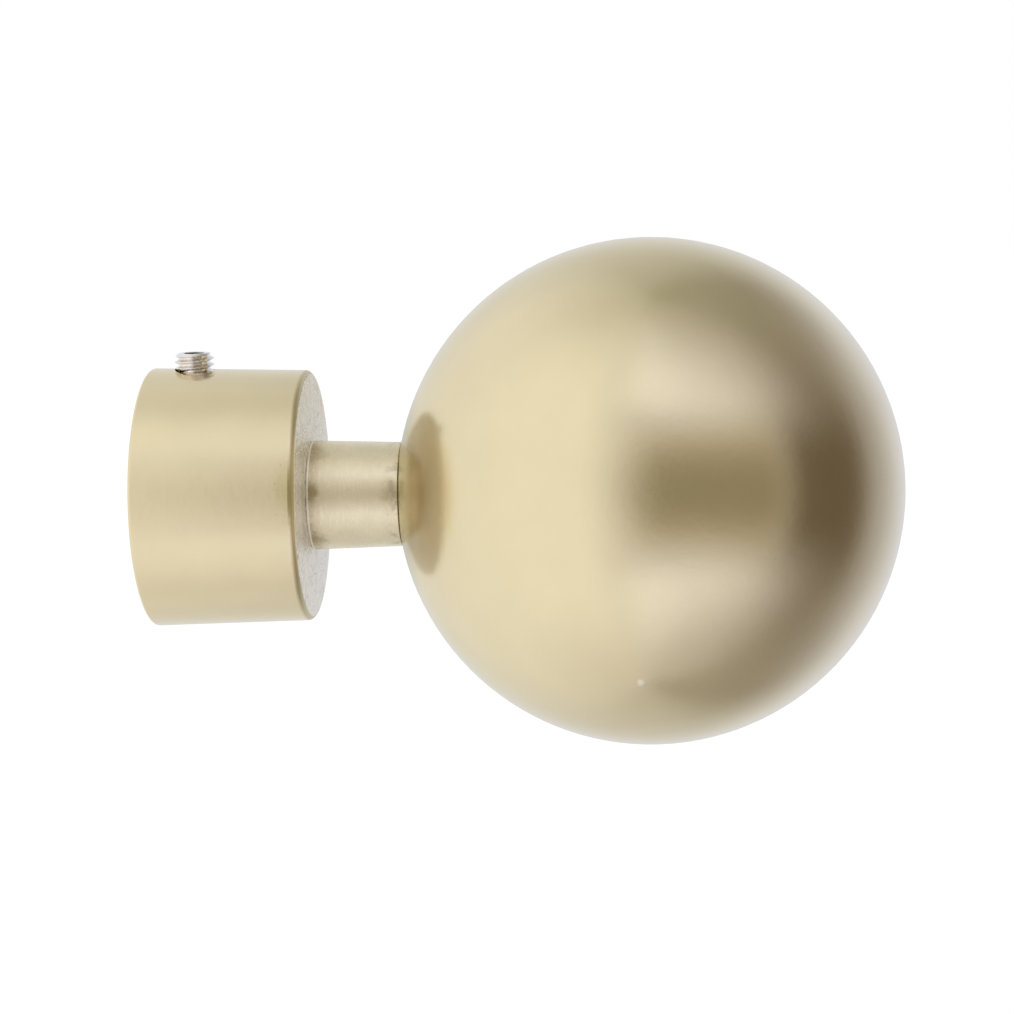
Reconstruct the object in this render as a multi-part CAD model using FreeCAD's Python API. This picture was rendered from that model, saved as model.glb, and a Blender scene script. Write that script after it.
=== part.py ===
import FreeCAD, Part
import os
from math import cos, pi, radians, sin, sqrt, tan

# Ball finial for the end of a round curtain pole.
# A cup-shaped end cap slips over the pole and is clamped by one grub screw. A turned neck stands
# between the cap and a hollow ball, and one countersunk screw, put in from inside the cap, draws
# cap, neck and ball together.
# Millimetres. The origin is the centre of the cap's mouth, +X runs along the pole's axis towards
# the ball, and +Z is the side that the grub screw is on.

Vector = FreeCAD.Vector
X_AXIS = Vector(1, 0, 0)
Y_AXIS = Vector(0, 1, 0)

# Pole and end cap
pole_diameter = 28.0
pole_clearance = 0.3
cap_length = 20.0
cap_floor = 4.5
cap_mouth_wall = 2.1
cap_draft_deg = 1.5
cap_edge_round = 0.8
mouth_edge_round = 0.3
socket_lead_in = 0.4

# Neck
neck_length = 11.5
neck_end_radius = 6.6
neck_draft_deg = 1.7
neck_edge_round = 0.2

# Ball, a closed shell with a small flat where the neck seats
ball_diameter = 63.5
ball_wall = 1.2
ball_seat_margin = 0.1

# Threaded bush, brazed inside the ball
bush_radius = 5.5
bush_flange_radius = 8.0
bush_flange_back = 3.2
bush_length = 10.0

# Countersunk socket screw, M6 x 25, that holds the three together
screw_thread_diameter = 6.0
screw_length = 25.0
screw_head_diameter = 12.0
screw_head_rim = 0.3
screw_head_recess = 0.2
screw_hex_width = 4.0
screw_hex_depth = 2.5
screw_tip_chamfer = 0.6
screw_hole_clearance = 0.3

# Grub screw, M5 x 4, with a cup point
grub_from_mouth = 5.5
grub_thread_diameter = 5.0
grub_length = 4.0
grub_end_chamfer = 0.5
grub_hex_width = 2.5
grub_hex_depth = 1.9
grub_cup_radius = 1.25
grub_cup_depth = 0.5
grub_tip_recess = 0.05

# Radial room in both threads, whose flanks are left plain here
thread_play = 0.05

# Worked out from the driving sizes
bore_radius = pole_diameter / 2 + pole_clearance
mouth_radius = bore_radius + cap_mouth_wall
closed_radius = mouth_radius - cap_length * tan(radians(cap_draft_deg))
floor_x = cap_length - cap_floor
neck_start_radius = neck_end_radius + neck_length * tan(radians(neck_draft_deg))
neck_end_x = cap_length + neck_length
screw_hole_radius = screw_thread_diameter / 2 + screw_hole_clearance
ball_radius = ball_diameter / 2
hollow_radius = ball_radius - ball_wall
ball_seat_radius = neck_end_radius + ball_seat_margin
ball_x = neck_end_x + sqrt(ball_radius**2 - ball_seat_radius**2)
screw_head_x = floor_x + screw_head_recess


def point(x, r):
    """A point of a turned outline: x along the axis and r out from it."""
    return Vector(x, 0, r)


def rounded_corner(before, corner, after, radius):
    """The start, middle and end of the arc that rounds one corner of an outline."""
    back = (before - corner).normalize()
    ahead = (after - corner).normalize()
    half_angle = back.getAngle(ahead) / 2
    reach = radius / tan(half_angle)
    bisector = (back + ahead).normalize()
    centre = corner + bisector * (radius / sin(half_angle))
    return corner + back * reach, centre - bisector * radius, corner + ahead * reach


def outline_edges(corners):
    """Lines, and arcs at the rounded corners, round a closed outline of (x, r, rounding)."""
    places = [point(x, r) for x, r, _ in corners]
    stretches = []
    for i, (_, _, rounding) in enumerate(corners):
        if rounding > 0:
            after = places[(i + 1) % len(places)]
            stretches.append(rounded_corner(places[i - 1], places[i], after, rounding))
        else:
            stretches.append((places[i],))
    edges = []
    for i, stretch in enumerate(stretches):
        if len(stretch) == 3:
            edges.append(Part.Arc(*stretch).toShape())
        following = stretches[(i + 1) % len(stretches)]
        edges.append(Part.LineSegment(stretch[-1], following[0]).toShape())
    return edges


def turn(edges):
    """The solid that a closed outline sweeps in one turn about the X axis."""
    face = Part.Face(Part.Wire(edges))
    return face.revolve(Vector(0, 0, 0), X_AXIS, 360)


def hex_socket(width, depth):
    """A hexagonal key socket from x = 0 inwards, with the drill's cone at its end."""
    corner_radius = width / 2 / cos(pi / 6)
    corners = [
        Vector(0, corner_radius * cos(i * pi / 3), corner_radius * sin(i * pi / 3))
        for i in range(7)
    ]
    prism = Part.Face(Part.makePolygon(corners)).extrude(X_AXIS * depth)
    cone_depth = width / 2 * tan(radians(30))
    cone = Part.makeCone(width / 2, 0, cone_depth, X_AXIS * depth, X_AXIS)
    return prism.fuse(cone)


def sphere_x(radius, r):
    """Where a sphere about the ball's centre, on its neck side, is r away from the axis."""
    return ball_x - sqrt(radius**2 - r**2)


def make_end_cap():
    countersink_depth = screw_head_recess + screw_head_rim
    countersink_radius = screw_head_diameter / 2 + countersink_depth
    hole_x = floor_x + countersink_radius - screw_hole_radius
    cup = turn(
        outline_edges(
            [
                (0, bore_radius + socket_lead_in, 0),
                (0, mouth_radius, mouth_edge_round),
                (cap_length, closed_radius, cap_edge_round),
                (cap_length, screw_hole_radius, 0),
                (hole_x, screw_hole_radius, 0),
                (floor_x, countersink_radius, 0),
                (floor_x, bore_radius, 0),
                (socket_lead_in, bore_radius, 0),
            ]
        )
    )
    tapped_hole = Part.makeCylinder(
        grub_thread_diameter / 2, mouth_radius, Vector(grub_from_mouth, 0, 0)
    )
    return cup.cut(tapped_hole)


def make_neck():
    return turn(
        outline_edges(
            [
                (cap_length, screw_hole_radius, 0),
                (cap_length, neck_start_radius, neck_edge_round),
                (neck_end_x, neck_end_radius, neck_edge_round),
                (neck_end_x, screw_hole_radius, 0),
            ]
        )
    )


def make_ball():
    far_x = ball_x + ball_radius
    seat_inner = point(neck_end_x, bush_radius)
    seat_outer = point(neck_end_x, ball_seat_radius)
    far_outer = point(far_x, 0)
    far_inner = point(far_x - ball_wall, 0)
    hole_inner = point(sphere_x(hollow_radius, bush_radius), bush_radius)
    edges = [
        Part.LineSegment(seat_inner, seat_outer).toShape(),
        Part.Arc(seat_outer, point(ball_x, ball_radius), far_outer).toShape(),
        Part.LineSegment(far_outer, far_inner).toShape(),
        Part.Arc(far_inner, point(ball_x, hollow_radius), hole_inner).toShape(),
        Part.LineSegment(hole_inner, seat_inner).toShape(),
    ]
    return turn(edges)


def make_ball_bush():
    """Flush with the ball's flat outside, with a flange that fits the hollow's curve."""
    bore = screw_thread_diameter / 2 + thread_play
    flange_back_x = neck_end_x + bush_flange_back
    bush_end_x = neck_end_x + bush_length
    mid_radius = (bush_radius + bush_flange_radius) / 2
    inside = point(sphere_x(hollow_radius, bush_radius), bush_radius)
    middle = point(sphere_x(hollow_radius, mid_radius), mid_radius)
    rim = point(sphere_x(hollow_radius, bush_flange_radius), bush_flange_radius)
    straight = [
        rim,
        point(flange_back_x, bush_flange_radius),
        point(flange_back_x, bush_radius),
        point(bush_end_x, bush_radius),
        point(bush_end_x, bore),
        point(neck_end_x, bore),
        point(neck_end_x, bush_radius),
        inside,
    ]
    edges = [Part.LineSegment(a, b).toShape() for a, b in zip(straight, straight[1:])]
    edges.append(Part.Arc(inside, middle, rim).toShape())
    return turn(edges)


def make_fixing_screw():
    """Its head is a 90 degree cone that lies on the cap's countersink."""
    head_radius = screw_head_diameter / 2
    thread_radius = screw_thread_diameter / 2
    cone_x = screw_head_x + screw_head_rim
    tip_x = screw_head_x + screw_length
    screw = turn(
        outline_edges(
            [
                (screw_head_x, 0, 0),
                (screw_head_x, head_radius, 0),
                (cone_x, head_radius, 0),
                (cone_x + head_radius - thread_radius, thread_radius, 0),
                (tip_x - screw_tip_chamfer, thread_radius, 0),
                (tip_x, thread_radius - screw_tip_chamfer, 0),
                (tip_x, 0, 0),
            ]
        )
    )
    socket = hex_socket(screw_hex_width, screw_hex_depth)
    socket.translate(X_AXIS * screw_head_x)
    return screw.cut(socket)


def make_grub_screw():
    """Backed out so far that its point just clears the bore, and the rest stands proud."""
    radius = grub_thread_diameter / 2 - thread_play
    screw = turn(
        outline_edges(
            [
                (0, 0, 0),
                (0, radius - grub_end_chamfer, 0),
                (grub_end_chamfer, radius, 0),
                (grub_length - grub_end_chamfer, radius, 0),
                (grub_length, radius - grub_end_chamfer, 0),
                (grub_length, grub_cup_radius, 0),
                (grub_length - grub_cup_depth, 0, 0),
            ]
        )
    )
    screw = screw.cut(hex_socket(grub_hex_width, grub_hex_depth))
    screw.rotate(Vector(0, 0, 0), Y_AXIS, 90)
    point_z = bore_radius + grub_tip_recess
    screw.translate(Vector(grub_from_mouth, 0, point_z + grub_length))
    return screw


pieces = {
    "end_cap": make_end_cap(),
    "neck": make_neck(),
    "ball": make_ball(),
    "ball_bush": make_ball_bush(),
    "fixing_screw": make_fixing_screw(),
    "grub_screw": make_grub_screw(),
}

os.makedirs("parts", exist_ok=True)
for name, shape in pieces.items():
    shape.exportStep(f"parts/{name}.step")
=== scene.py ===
from math import cos, pi, radians, sin, tan

import bpy
from mathutils import Matrix, Vector

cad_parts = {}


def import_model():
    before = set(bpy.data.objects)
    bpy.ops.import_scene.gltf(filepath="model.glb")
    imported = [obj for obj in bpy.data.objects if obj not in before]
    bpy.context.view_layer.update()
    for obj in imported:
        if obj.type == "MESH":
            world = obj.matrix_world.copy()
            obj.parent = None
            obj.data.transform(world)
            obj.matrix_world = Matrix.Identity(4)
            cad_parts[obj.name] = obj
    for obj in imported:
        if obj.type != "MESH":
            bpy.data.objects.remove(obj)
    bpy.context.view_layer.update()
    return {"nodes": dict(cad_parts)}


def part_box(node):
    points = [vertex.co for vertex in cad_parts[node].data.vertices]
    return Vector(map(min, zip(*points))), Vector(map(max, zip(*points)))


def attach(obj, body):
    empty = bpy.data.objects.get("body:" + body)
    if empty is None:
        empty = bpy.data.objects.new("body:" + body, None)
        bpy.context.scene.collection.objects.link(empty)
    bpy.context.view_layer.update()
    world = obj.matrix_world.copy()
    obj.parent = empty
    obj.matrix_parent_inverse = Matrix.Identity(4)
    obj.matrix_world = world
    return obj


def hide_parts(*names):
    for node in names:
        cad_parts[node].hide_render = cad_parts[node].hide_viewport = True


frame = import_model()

MM = 0.001

# Places and sizes read from the frame, in metres
_, ball_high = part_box("ball")
_, cap_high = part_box("end_cap")
neck_low, neck_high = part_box("neck")
grub_low, grub_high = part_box("grub_screw")
ball_radius = ball_high.z
ball_centre = Vector((ball_high.x - ball_radius, 0, 0))

# The camera, fitted to the outlines in the photograph: the picture's width and the lens, in
# pixels, and the ball's centre to the right of, ahead of and above the camera, in metres
image_size = 1014
focal_length_px = 2000
ball_from_camera = Vector((0.01787, 0.25210, 0.00202))

# How the finial is turned in front of the camera, in degrees
turn_towards_camera = 10
swing = -3.17
lean = -0.67

# Metal colours, as reflected straight back
GOLD = (0.80, 0.69, 0.46)
NECK_GOLD = (0.835, 0.735, 0.525)
# Painted shade for the ball's corner round the neck
CORNER_SHADE_GOLD = (0.48, 0.414, 0.1932)
# Painted highlight, on the neck's edge at the cap and on the ball's nib
PAINTED_HIGHLIGHT = (1.0, 0.95, 0.84)
PINK_SKIN = (0.98, 0.92, 0.86)
GREEN_SKIN = (0.96, 0.93, 0.84)
# A real stain on the cap's closed edge, and painted shade on its face towards the top
STAIN_AND_SHADE = (0.70, 0.60, 0.33)
# Painted shade on the cap's rounded closed edge
EDGE_SHADE = (0.62, 0.53, 0.30)
# Dark marks: tarnish on the cap's face, painted shade on the ball, a painted reflection beside the
# neck
TARNISH_AND_SHADE = (0.42, 0.34, 0.18)
SPECK = (0.34, 0.25, 0.14)
SEAM = (0.17, 0.12, 0.07)
NICKEL = (0.88, 0.84, 0.81)
STEEL = (0.58, 0.57, 0.55)

satin_roughness = 0.20
brushed_roughness = 0.30
brushed_grain = 0.3
turned_roughness = 0.35
plated_roughness = 0.12
cast_roughness = 0.36
cast_metallic = 0.5
worn_roughness = 0.45


def camera_axes():
    """The camera's right, forward and up directions, as rows, in the frame."""
    roll = Matrix.Rotation(radians(lean), 3, "Y")
    yaw = Matrix.Rotation(radians(swing), 3, "Z")
    tip = Matrix.Rotation(radians(turn_towards_camera), 3, "X")
    return roll @ yaw @ tip


def make_camera():
    axes = camera_axes()
    right, forward, up = axes
    data = bpy.data.cameras.new("camera")
    data.sensor_width = 36
    data.lens = focal_length_px / image_size * data.sensor_width
    camera = bpy.data.objects.new("camera", data)
    bpy.context.scene.collection.objects.link(camera)
    place = ball_centre - axes.transposed() @ ball_from_camera
    turning = Matrix((right, up, -forward)).transposed()
    camera.matrix_world = Matrix.Translation(place) @ turning.to_4x4()
    bpy.context.scene.camera = camera


class Nodes:
    """Adds shader nodes to one tree: a value that is an output socket is linked."""

    def __init__(self, tree):
        self.tree = tree
        tree.nodes.clear()

    def add(self, kind, values=None, **settings):
        node = self.tree.nodes.new("ShaderNode" + kind)
        for name, setting in settings.items():
            setattr(node, name, setting)
        for key, value in (values or {}).items():
            socket = node.inputs[key]
            if isinstance(value, bpy.types.NodeSocket):
                self.tree.links.new(value, socket)
            else:
                socket.default_value = value
        return node

    def math(self, operation, a, b=0.0):
        return self.add("Math", {0: a, 1: b}, operation=operation).outputs[0]

    def smooth(self, value, start, end, low=0.0, high=1.0):
        """low before start and high after end, with a smooth step between."""
        values = {"Value": value, "From Min": start, "From Max": end, "To Min": low, "To Max": high}
        return self.add("MapRange", values, interpolation_type="SMOOTHSTEP").outputs["Result"]

    def spread(self, value, low, high, start=0.3, end=0.7):
        values = {"Value": value, "From Min": start, "From Max": end, "To Min": low, "To Max": high}
        return self.add("MapRange", values).outputs["Result"]

    def mix(self, factor, a, b):
        values = {"Factor": factor, 6: a, 7: b}
        return self.add("Mix", values, data_type="RGBA").outputs[2]

    def mix_value(self, factor, a, b):
        values = {"Factor": factor, 2: a, 3: b}
        return self.add("Mix", values, data_type="FLOAT").outputs[0]

    def noise(self, vector, grain, detail=2.0, rough=0.5, distortion=0.0):
        """Noise whose features are about grain metres across."""
        values = {
            "Vector": vector,
            "Scale": 1 / grain,
            "Detail": detail,
            "Roughness": rough,
            "Distortion": distortion,
        }
        return self.add("TexNoise", values).outputs["Fac"]

    def place(self):
        return self.add("TexCoord").outputs["Object"]

    def stretched(self, vector, scale):
        return self.add("Mapping", {"Vector": vector, "Scale": scale}).outputs["Vector"]

    def bump(self, height, depth, normal=None):
        """Relief that stands depth metres high where height goes from 0 to 1."""
        values = {"Height": height, "Strength": 1.0, "Distance": depth}
        if normal:
            values["Normal"] = normal
        return self.add("Bump", values).outputs["Normal"]


def rgba(colour):
    return (*colour, 1.0)


def scaled(colour, factor):
    return tuple(channel * factor for channel in colour)


# The light tent round the finial, as seen from the ball's centre: across is 0 towards the camera
# and grows to the right, and rise is the angle up or down from the level through the lens. Each
# pair says, in degrees, where one light begins to give way to the next and where it has.
# The colours and most of the pairs are a least-squares program's answer to the brightness read at
# many places on the ball and the cap in the photograph. The other pairs were set one by one.
tent_radius = 0.4
tent_around = 64
tent_rings = 32
meeting_behind = (125, 180)
TOP_RIGHT = (0.421, 0.422, 0.351)
BOTTOM_RIGHT = (0.44, 0.422, 0.377)
TOP_LEFT = (0.497, 0.497, 0.433)
BOTTOM_LEFT = (0.631, 0.608, 0.60)
FAR_WALL = (0.291, 0.265, 0.243)
NEAR_WALL = (0.855, 0.847, 0.938)
BACKDROP = (1.032, 1.111, 1.35)
DARK_ROOM = (0.156, 0.123, 0.092)
DARK_FRONT = (0.414, 0.376, 0.286)
DARK_CENTRE = (0.313, 0.282, 0.208)
SOFT_BOX = (1.22, 1.263, 1.35)
SWEEP = (1.024, 1.029, 1.018)
SWEEP_END = (0.424, 0.50, 0.597)
ends_apart = (37, 99.5)
wall_rise = (31, 91)
near_wall_edge = (29, 86.5)
backdrop_edge = (86.5, 171)
backdrop_rise = (21, 61)
dark_rise = (10, 38.5)
dark_centre_rise = (2, 20)
dark_room_edge = (43, 66)
dark_end = (90.5, 109.5)
box_edge = (-39, 45.5)
box_bottom = (27, 42.5)
box_top = (44.5, 94.5)
sweep_edge = (-37, 2)
sweep_rise = (36.5, 110)
sweep_fade = (-411, -23)


def tent_light(n):
    """A white sweep to the left and behind, two soft boxes, and the dark room they stand in."""
    direction = n.add("VectorMath", {0: n.place()}, operation="NORMALIZE").outputs["Vector"]
    right, forward, up = n.add("SeparateXYZ", {0: direction}).outputs
    towards = n.math("MULTIPLY", forward, -1.0)
    degree = pi / 180
    across = n.math("DIVIDE", n.math("ARCTAN2", right, towards), degree)
    signed_rise = n.math("DIVIDE", n.math("ARCSINE", up), degree)
    rise = n.math("ABSOLUTE", signed_rise)

    def after(angle, edges):
        return n.smooth(angle, *edges)

    def before(angle, edges):
        return n.smooth(angle, *edges, 1.0, 0.0)

    # Straight behind, each light on the left shares the place with its neighbour on the right
    behind_left = n.smooth(n.math("MULTIPLY", across, -1.0), *meeting_behind, 0.0, 0.5)
    behind_right = n.smooth(across, *meeting_behind, 0.0, 0.5)
    shared = n.math("SUBTRACT", behind_right, behind_left)
    past_behind = n.math("MULTIPLY", n.math("GREATER_THAN", across, 90), 360)
    unbroken = n.math("SUBTRACT", across, past_behind)

    below = n.smooth(n.math("MULTIPLY", signed_rise, -1.0), -5, 5)
    left_ends = n.math("ADD", before(across, ends_apart), shared)
    on_sweep = n.math("ADD", before(across, sweep_edge), shared)
    off_sweep = n.math("SUBTRACT", 1.0, on_sweep)
    by_backdrop = n.math("SUBTRACT", after(across, backdrop_edge), shared)
    in_front = after(across, sweep_edge)
    wall = before(rise, wall_rise)
    dark = before(rise, dark_rise)
    beside = after(across, dark_room_edge)
    facing = before(across, dark_room_edge)
    sweep = (on_sweep, before(rise, sweep_rise))
    layers = [
        ((below,), BOTTOM_RIGHT),
        ((left_ends,), TOP_LEFT),
        ((left_ends, below), BOTTOM_LEFT),
        ((off_sweep, wall), FAR_WALL),
        ((in_front, wall, before(across, near_wall_edge)), NEAR_WALL),
        ((by_backdrop, before(rise, backdrop_rise)), BACKDROP),
        ((in_front, dark, beside, before(across, dark_end)), DARK_ROOM),
        ((in_front, dark, facing), DARK_FRONT),
        ((in_front, facing, before(rise, dark_centre_rise)), DARK_CENTRE),
        (
            (in_front, before(across, box_edge), after(rise, box_bottom), before(rise, box_top)),
            SOFT_BOX,
        ),
        (sweep, SWEEP),
        ((*sweep, before(unbroken, sweep_fade)), SWEEP_END),
    ]
    colour = rgba(TOP_RIGHT)
    for masks, light in layers:
        mask = masks[0]
        for other in masks[1:]:
            mask = n.math("MULTIPLY", mask, other)
        colour = n.mix(mask, colour, rgba(light))
    return colour


def staged_mesh(name, points, faces, material):
    mesh = bpy.data.meshes.new(name)
    mesh.from_pydata(points, [], faces)
    mesh.materials.append(material)
    piece = bpy.data.objects.new(name, mesh)
    bpy.context.scene.collection.objects.link(piece)
    return piece


def make_tent():
    """A closed tent that only reflections see."""
    around = tent_around
    points = []
    for k in range(tent_rings + 1):
        height = tent_radius * cos(pi * k / tent_rings)
        reach = tent_radius * sin(pi * k / tent_rings)
        turns = (2 * pi * i / around for i in range(around))
        points += [(reach * cos(turn), reach * sin(turn), height) for turn in turns]
    faces = [
        (k * around + i, (k + 1) * around + i,
         (k + 1) * around + (i + 1) % around, k * around + (i + 1) % around)
        for k in range(tent_rings)
        for i in range(around)
    ]
    material = bpy.data.materials.new("light_tent")
    material.use_nodes = True
    material.cycles.emission_sampling = "NONE"
    n = Nodes(material.node_tree)
    light = n.add("Emission", {"Color": tent_light(n), "Strength": 1.0})
    n.add("OutputMaterial", {"Surface": light.outputs[0]})
    tent = staged_mesh("light_tent", points, faces, material)
    turning = camera_axes().transposed().to_4x4()
    tent.matrix_world = Matrix.Translation(ball_centre) @ turning
    tent.visible_camera = False
    tent.visible_shadow = False
    tent.visible_diffuse = False


def make_world():
    """Plain even white."""
    world = bpy.data.worlds.new("studio")
    world.use_nodes = True
    bpy.context.scene.world = world
    n = Nodes(world.node_tree)
    background = n.add("Background", {"Color": (1, 1, 1, 1), "Strength": 1.0})
    n.add("OutputWorld", {"Surface": background.outputs[0]})


floor_depth = 0.2
floor_reach = 4.0
floor_lift = 0.22


def make_floor():
    """A pale floor well below, white to the camera except where the finial shades it."""
    material = bpy.data.materials.new("pale_floor")
    material.use_nodes = True
    n = Nodes(material.node_tree)
    grain = n.noise(n.place(), 4 * MM)
    shade = n.mix(grain, (0.80, 0.80, 0.80, 1), (0.82, 0.82, 0.82, 1))
    diffuse = n.add("BsdfDiffuse", {"Color": shade})
    seen = n.add("LightPath").outputs["Is Camera Ray"]
    strength = n.math("MULTIPLY", seen, floor_lift)
    lift = n.add("Emission", {"Color": (1, 1, 1, 1), "Strength": strength})
    both = n.add("AddShader", {0: diffuse.outputs[0], 1: lift.outputs[0]})
    n.add("OutputMaterial", {"Surface": both.outputs[0]})
    signs = ((-1, -1), (1, -1), (1, 1), (-1, 1))
    corners = [(x * floor_reach, y * floor_reach, -floor_depth) for x, y in signs]
    floor = staged_mesh("floor", corners, [(0, 1, 2, 3)], material)
    floor.visible_glossy = False


def finish_material(name, base, roughness, build, turned_grain=0.0):
    """A metal: build gives colour, roughness and normal, and how metallic it is if not wholly."""
    material = bpy.data.materials.new(name)
    material.use_nodes = True
    n = Nodes(material.node_tree)
    colour, rough, normal, *rest = build(n, n.place(), base, roughness)
    metallic = rest[0] if rest else 1.0
    values = {"Base Color": colour, "Metallic": metallic, "Roughness": rough, "Normal": normal}
    if turned_grain:
        values["Anisotropic"] = turned_grain
        values["Anisotropic Rotation"] = 0.25
        values["Tangent"] = n.add("Tangent", direction_type="RADIAL", axis="X").outputs[0]
    shader = n.add("BsdfPrincipled", values)
    n.add("OutputMaterial", {"Surface": shader.outputs[0]})
    return material


def satin(n, place, base, roughness, under=None):
    """Fine even satin with a slight orange peel: colour, roughness and relief."""
    cloud = n.noise(place, 7 * MM, detail=3)
    colour = n.mix(n.spread(cloud, 0, 1), rgba(scaled(base, 0.98)), rgba(scaled(base, 1.015)))
    grain = n.noise(place, 0.4 * MM)
    rough = n.spread(grain, roughness - 0.02, roughness + 0.02)
    peel = n.noise(place, 1.3 * MM, distortion=0.4)
    normal = n.bump(peel, 0.009 * MM, under)
    normal = n.bump(grain, 0.0016 * MM, normal)
    return colour, rough, normal


def satin_ball(n, place, base, roughness):
    """The ball: satin all over, with painted shade in the corner round the neck, and one small nib
    with a painted glint.

    A patch of that corner is painted darker still, on the side that the photograph shows. It stands
    in for shade that the lights don't give, and stays on the ball in every view.
    """
    from_centre = n.add("VectorMath", {0: place, 1: ball_centre}, operation="SUBTRACT").outputs[0]
    outwards = n.add("VectorMath", {0: from_centre}, operation="NORMALIZE").outputs[0]
    colour, rough, normal = satin(n, place, base, roughness, outwards)
    x, y, z = n.add("SeparateXYZ", {0: place}).outputs
    from_axis = n.math("SQRT", n.math("ADD", n.math("MULTIPLY", y, y), n.math("MULTIPLY", z, z)))
    # Painted shade: the ball darker in the corner round the neck
    corner = n.smooth(from_axis, 9 * MM, 15.5 * MM, 1.0, 0.0)
    near_neck = n.smooth(x, ball_centre.x - 20 * MM, ball_centre.x - 10 * MM, 1.0, 0.0)
    colour = n.mix(n.math("MULTIPLY", corner, near_neck), colour, rgba(CORNER_SHADE_GOLD))
    # Painted shade: one patch of the corner made darker still
    shade = blot(n, place, (33.3, -12.2, 2.2), (2.4, 3.2, 8.5), 0.0)
    colour = n.mix(n.math("MULTIPLY", shade, 0.6), colour, rgba(TARNISH_AND_SHADE))
    # The nib: a small bump with a painted glint on it
    nib = blot(n, place, (61.15, -26.2, -17.9), (0.8, 0.8, 0.8))
    colour = n.mix(n.math("MULTIPLY", nib, 0.8), colour, rgba(PAINTED_HIGHLIGHT))
    normal = n.bump(nib, 0.02 * MM, normal)
    return colour, rough, normal


def blot(n, place, middle, size, raggedness=0.25):
    """A ragged blot, 1 at its middle and 0 outside, placed and sized in millimetres."""
    middle = tuple(length * MM for length in middle)
    away = n.add("VectorMath", {0: place, 1: middle}, operation="SUBTRACT").outputs["Vector"]
    reach = n.stretched(away, tuple(1 / (length * MM) for length in size))
    distance = n.add("VectorMath", {0: reach}, operation="LENGTH").outputs["Value"]
    roam = n.spread(n.noise(place, 1.0 * MM, detail=3), -raggedness, raggedness)
    ragged = n.math("ADD", distance, roam)
    return n.smooth(ragged, 0.15, 1.0, 1.0, 0.0)


# Dark marks on the cap's face and on the neck, painted as tarnish though the large ones may be
# shade in the photograph: each blot's middle, from the middle of the cap's mouth, and its size,
# both in millimetres, and its strength. The first face blot, beside the neck, is a painted
# reflection of the neck; the three small ones are marks on the face, and the neck's are dark
# patches near its ends.
face_blots = [
    ((20, -8.3, 0.3), (3, 3.0, 9), 0.25),
    ((20, -10.6, 12.1), (0.5, 0.9, 0.5), 0.7),
    ((20, 6.2, 9.5), (0.5, 1.0, 0.6), 0.6),
    ((20, -14.2, -5.2), (0.5, 0.9, 0.6), 0.6),
]
neck_blots = [
    ((20.7, -6.4, 1.6), (1.3, 2, 1.7), 0.8),
    ((21.0, -3.6, 6.0), (2.2, 3, 2.4), 0.4),
    ((21.1, -5.0, -4.8), (1.8, 2, 1.7), 0.6),
    ((30.5, -6.5, 1.4), (1.5, 2, 2.3), 0.45),
]


def cast_and_satin(n, place, base, roughness):
    """The cap: satin outside, and a rougher, paler face with the skin that it was cast with."""
    colour, rough, normal = satin(n, place, base, roughness)
    x, _, z = n.add("SeparateXYZ", {0: place}).outputs
    edge = n.smooth(x, cap_high.x - 0.75 * MM, cap_high.x - 0.35 * MM)
    face = n.smooth(x, cap_high.x - 0.10 * MM, cap_high.x - 0.02 * MM)
    skin = n.noise(place, 1.7 * MM, detail=3, distortion=2.2)
    creases = n.smooth(skin, 0.56, 0.64)
    cloud = n.spread(n.noise(place, 3 * MM), 0, 1)
    pale = n.mix(cloud, rgba(PINK_SKIN), rgba(GREEN_SKIN))
    pale = n.mix(creases, pale, rgba(scaled(PINK_SKIN, 0.8)))
    # Painted shade: the face darker towards the top
    pale = n.mix(n.smooth(z, -4 * MM, 16 * MM, 0.0, 0.4), pale, rgba(STAIN_AND_SHADE))
    # The first blot is a painted reflection of the neck; the others are marks on the face
    for middle, size, strength in face_blots:
        mark = n.math("MULTIPLY", blot(n, place, middle, size), strength)
        pale = n.mix(mark, pale, rgba(TARNISH_AND_SHADE))
    blemish = blot(n, place, (19.4, -15.5, 3.5), (2.3, 5, 5))
    colour = n.mix(n.math("MULTIPLY", blemish, 0.7), colour, rgba(STAIN_AND_SHADE))
    specks = n.smooth(n.noise(place, 0.4 * MM, detail=1), 0.69, 0.75)
    colour = n.mix(n.math("MULTIPLY", blemish, specks), colour, rgba(SPECK))
    # Painted shade on the rounded closed edge
    colour = n.mix(n.math("MULTIPLY", edge, 0.8), colour, rgba(EDGE_SHADE))
    colour = n.mix(face, colour, pale)
    rough = n.mix_value(edge, rough, cast_roughness)
    crinkle = n.math("MULTIPLY", face, skin)
    normal = n.bump(crinkle, 0.40 * MM, normal)
    metallic = n.mix_value(face, 1.0, cast_metallic)
    return colour, rough, normal, metallic


def turned(n, place, base, roughness):
    """Broken rings round the axis, as an abrasive pad leaves on a turned piece."""
    cloud = n.noise(place, 2.2 * MM, detail=3, rough=0.6)
    colour = n.mix(n.spread(cloud, 0, 1), rgba(scaled(base, 0.95)), rgba(scaled(base, 1.03)))
    along_rings = n.stretched(place, (1.0, 0.16, 0.16))
    rings = n.noise(along_rings, 0.24 * MM, detail=3, rough=0.6)
    rough = n.spread(rings, roughness - 0.06, roughness + 0.06)
    relief = n.math("MULTIPLY", rings, n.spread(cloud, 0.1, 1.0))
    normal = n.bump(relief, 0.010 * MM)
    return colour, rough, normal


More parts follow.
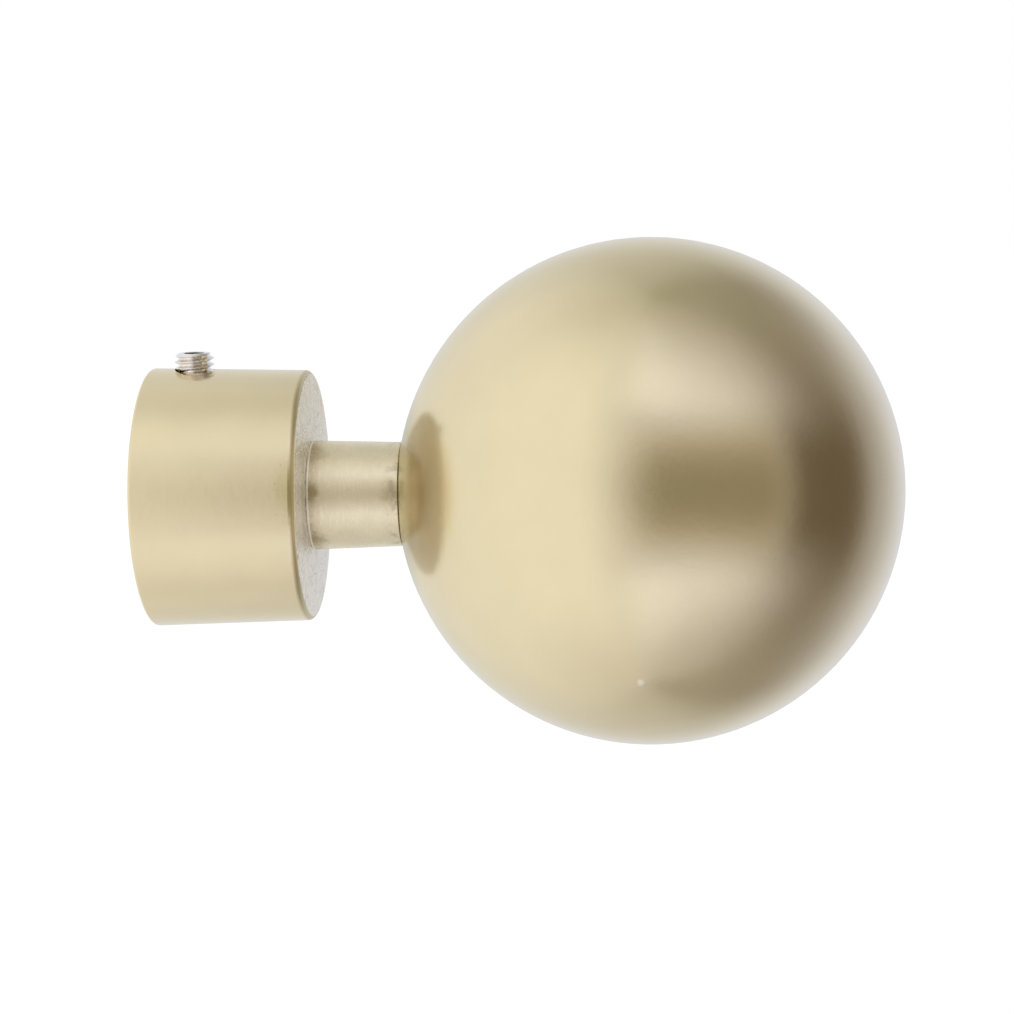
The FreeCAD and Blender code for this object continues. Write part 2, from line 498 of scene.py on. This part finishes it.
def turned_neck(n, place, base, roughness):
    """The neck: a painted highlight on its edge at the cap, and a dark line where it meets the
    ball.
    """
    colour, rough, normal = turned(n, place, base, roughness)
    x, _, z = n.add("SeparateXYZ", {0: place}).outputs
    # Darker in patches towards both ends, and darker still towards the cap
    end_mottle = n.noise(place, 1.6 * MM, detail=3, rough=0.6)
    from_end = n.smooth(x, neck_high.x - 2.2 * MM, neck_high.x - 0.3 * MM)
    from_start = n.smooth(x, neck_low.x + 0.3 * MM, neck_low.x + 1.6 * MM, 1.0, 0.0)
    ends = n.math("MAXIMUM", from_end, from_start)
    darker_ends = n.math("MULTIPLY", ends, n.smooth(end_mottle, 0.45, 0.62))
    colour = n.mix(darker_ends, colour, rgba(scaled(base, 0.72)))
    darker_towards_cap = n.smooth(x, neck_low.x + 0.4 * MM, neck_low.x + 2.2 * MM, 0.5, 0.0)
    colour = n.mix(darker_towards_cap, colour, rgba(scaled(base, 0.74)))
    # Dark patches near the neck's ends
    for middle, size, strength in neck_blots:
        mark = n.math("MULTIPLY", blot(n, place, middle, size), strength)
        colour = n.mix(mark, colour, rgba(TARNISH_AND_SHADE))
    # Painted highlight on the neck's rounded edge at the cap
    edge_highlight = n.smooth(x, neck_low.x + 0.30 * MM, neck_low.x + 0.38 * MM, 1.0, 0.0)
    colour = n.mix(edge_highlight, colour, rgba(PAINTED_HIGHLIGHT))
    seam = n.smooth(x, neck_high.x - 0.12 * MM, neck_high.x - 0.06 * MM)
    open_part = n.smooth(z, 4.0 * MM, 5.0 * MM, 1.0, 0.1)
    colour = n.mix(n.math("MULTIPLY", seam, open_part), colour, rgba(SEAM))
    rough = n.mix_value(n.math("MAXIMUM", edge_highlight, seam), rough, worn_roughness)
    return colour, rough, normal


def plated(n, place, base, roughness):
    """Bright barrel plating with a faint haze."""
    cloud = n.noise(place, 1.2 * MM, detail=3)
    colour = n.mix(n.spread(cloud, 0, 1), rgba(scaled(base, 0.9)), rgba(scaled(base, 1.03)))
    haze = n.noise(place, 0.2 * MM, detail=3)
    rough = n.spread(haze, roughness - 0.04, roughness + 0.06)
    normal = n.bump(haze, 0.002 * MM)
    return colour, rough, normal


# Grub screw, M5 x 0.8. The thread's crest and root are flats, given as shares of the pitch.
thread_pitch = 0.8 * MM
thread_depth = 0.49 * MM
thread_crest = 0.125
thread_root = 0.25
end_chamfer = 0.5 * MM
hex_width = 2.5 * MM
hex_depth = 1.9 * MM
hex_edge_break = 0.06 * MM
drill_share = 0.98
drill_point_share = 0.05
drill_point_deg = 30
cup_radius = 1.25 * MM
cup_depth = 0.5 * MM
thread_start_deg = 40
steps_around = 144
steps_along = 100
sharp_edge_deg = 32


def thread_radius(z, angle, crest_radius, bottom, top):
    """The right-hand thread's radius at a height and an angle, cut down by both chamfers."""
    phase = ((z - bottom) / thread_pitch - (angle + radians(thread_start_deg)) / (2 * pi)) % 1.0
    from_crest = min(phase, 1 - phase)
    flat = thread_crest / 2
    flank = 0.5 - thread_root / 2 - flat
    fall = min(max((from_crest - flat) / flank, 0.0), 1.0)
    radius = crest_radius - thread_depth * fall
    for distance in (z - bottom, top - z):
        radius = min(radius, crest_radius - end_chamfer + max(distance, 0.0))
    return radius


def make_grub_screw(material):
    """The grub screw with its thread, key socket and cup point."""
    centre = (grub_low + grub_high) / 2
    bottom, top = grub_low.z, grub_high.z
    crest_radius = (grub_high.x - grub_low.x) / 2
    around = steps_around
    angles = [2 * pi * i / around for i in range(around)]
    rings = []
    for k in range(steps_along + 1):
        z = bottom + (top - bottom) * k / steps_along
        rings.append([(thread_radius(z, a, crest_radius, bottom, top), a, z) for a in angles])

    def hex_ring(z):
        sixth = pi / 3
        return [
            (hex_width / 2 / cos((a + sixth / 2) % sixth - sixth / 2), a, z) for a in angles
        ]

    socket_floor = top - hex_depth
    drill_radius = hex_width / 2 * drill_share
    drill_end = socket_floor - drill_radius * tan(radians(drill_point_deg))
    socket = [
        hex_ring(top - hex_edge_break),
        hex_ring(socket_floor),
        [(drill_radius, a, socket_floor) for a in angles],
        [(drill_radius * drill_point_share, a, drill_end) for a in angles],
    ]
    lip = [(radius + hex_edge_break, a, top) for radius, a, _ in hex_ring(top)]
    point = [
        [(cup_radius * share, a, bottom + cup_depth * (1 - share)) for a in angles]
        for share in (0.03, 0.5, 1.0)
    ]
    rings = point + rings + [lip] + socket
    points = [
        (centre.x + r * cos(a), centre.y + r * sin(a), z) for ring in rings for r, a, z in ring
    ]
    faces = [
        (k * around + i, k * around + (i + 1) % around,
         (k + 1) * around + (i + 1) % around, (k + 1) * around + i)
        for k in range(len(rings) - 1)
        for i in range(around)
    ]
    last = (len(rings) - 1) * around
    faces.append(tuple(reversed(range(around))))
    faces.append(tuple(last + i for i in range(around)))
    mesh = bpy.data.meshes.new("threaded_grub_screw")
    mesh.from_pydata(points, [], faces)
    mesh.materials.append(material)
    screw = bpy.data.objects.new("threaded_grub_screw", mesh)
    bpy.context.scene.collection.objects.link(screw)
    for polygon in mesh.polygons:
        polygon.use_smooth = True
    mesh.set_sharp_from_angle(angle=radians(sharp_edge_deg))
    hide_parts("grub_screw")
    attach(screw, "grub")
    return screw


def dress(node, material):
    materials = frame["nodes"][node].data.materials
    for i in range(len(materials)):
        materials[i] = material


make_camera()
make_world()
make_floor()
make_tent()

dress("ball", finish_material("satin_gold_ball", GOLD, satin_roughness, satin_ball))
dress("end_cap", finish_material("satin_gold_cap", GOLD, satin_roughness, cast_and_satin))
brushed_gold = finish_material(
    "brushed_gold", NECK_GOLD, brushed_roughness, turned_neck, brushed_grain
)
dress("neck", brushed_gold)
dress("ball_bush", finish_material("turned_steel", STEEL, turned_roughness, turned))
nickel = finish_material("nickel_plate", NICKEL, plated_roughness, plated)
dress("fixing_screw", nickel)
make_grub_screw(nickel)

bpy.context.scene.view_settings.view_transform = "Standard"
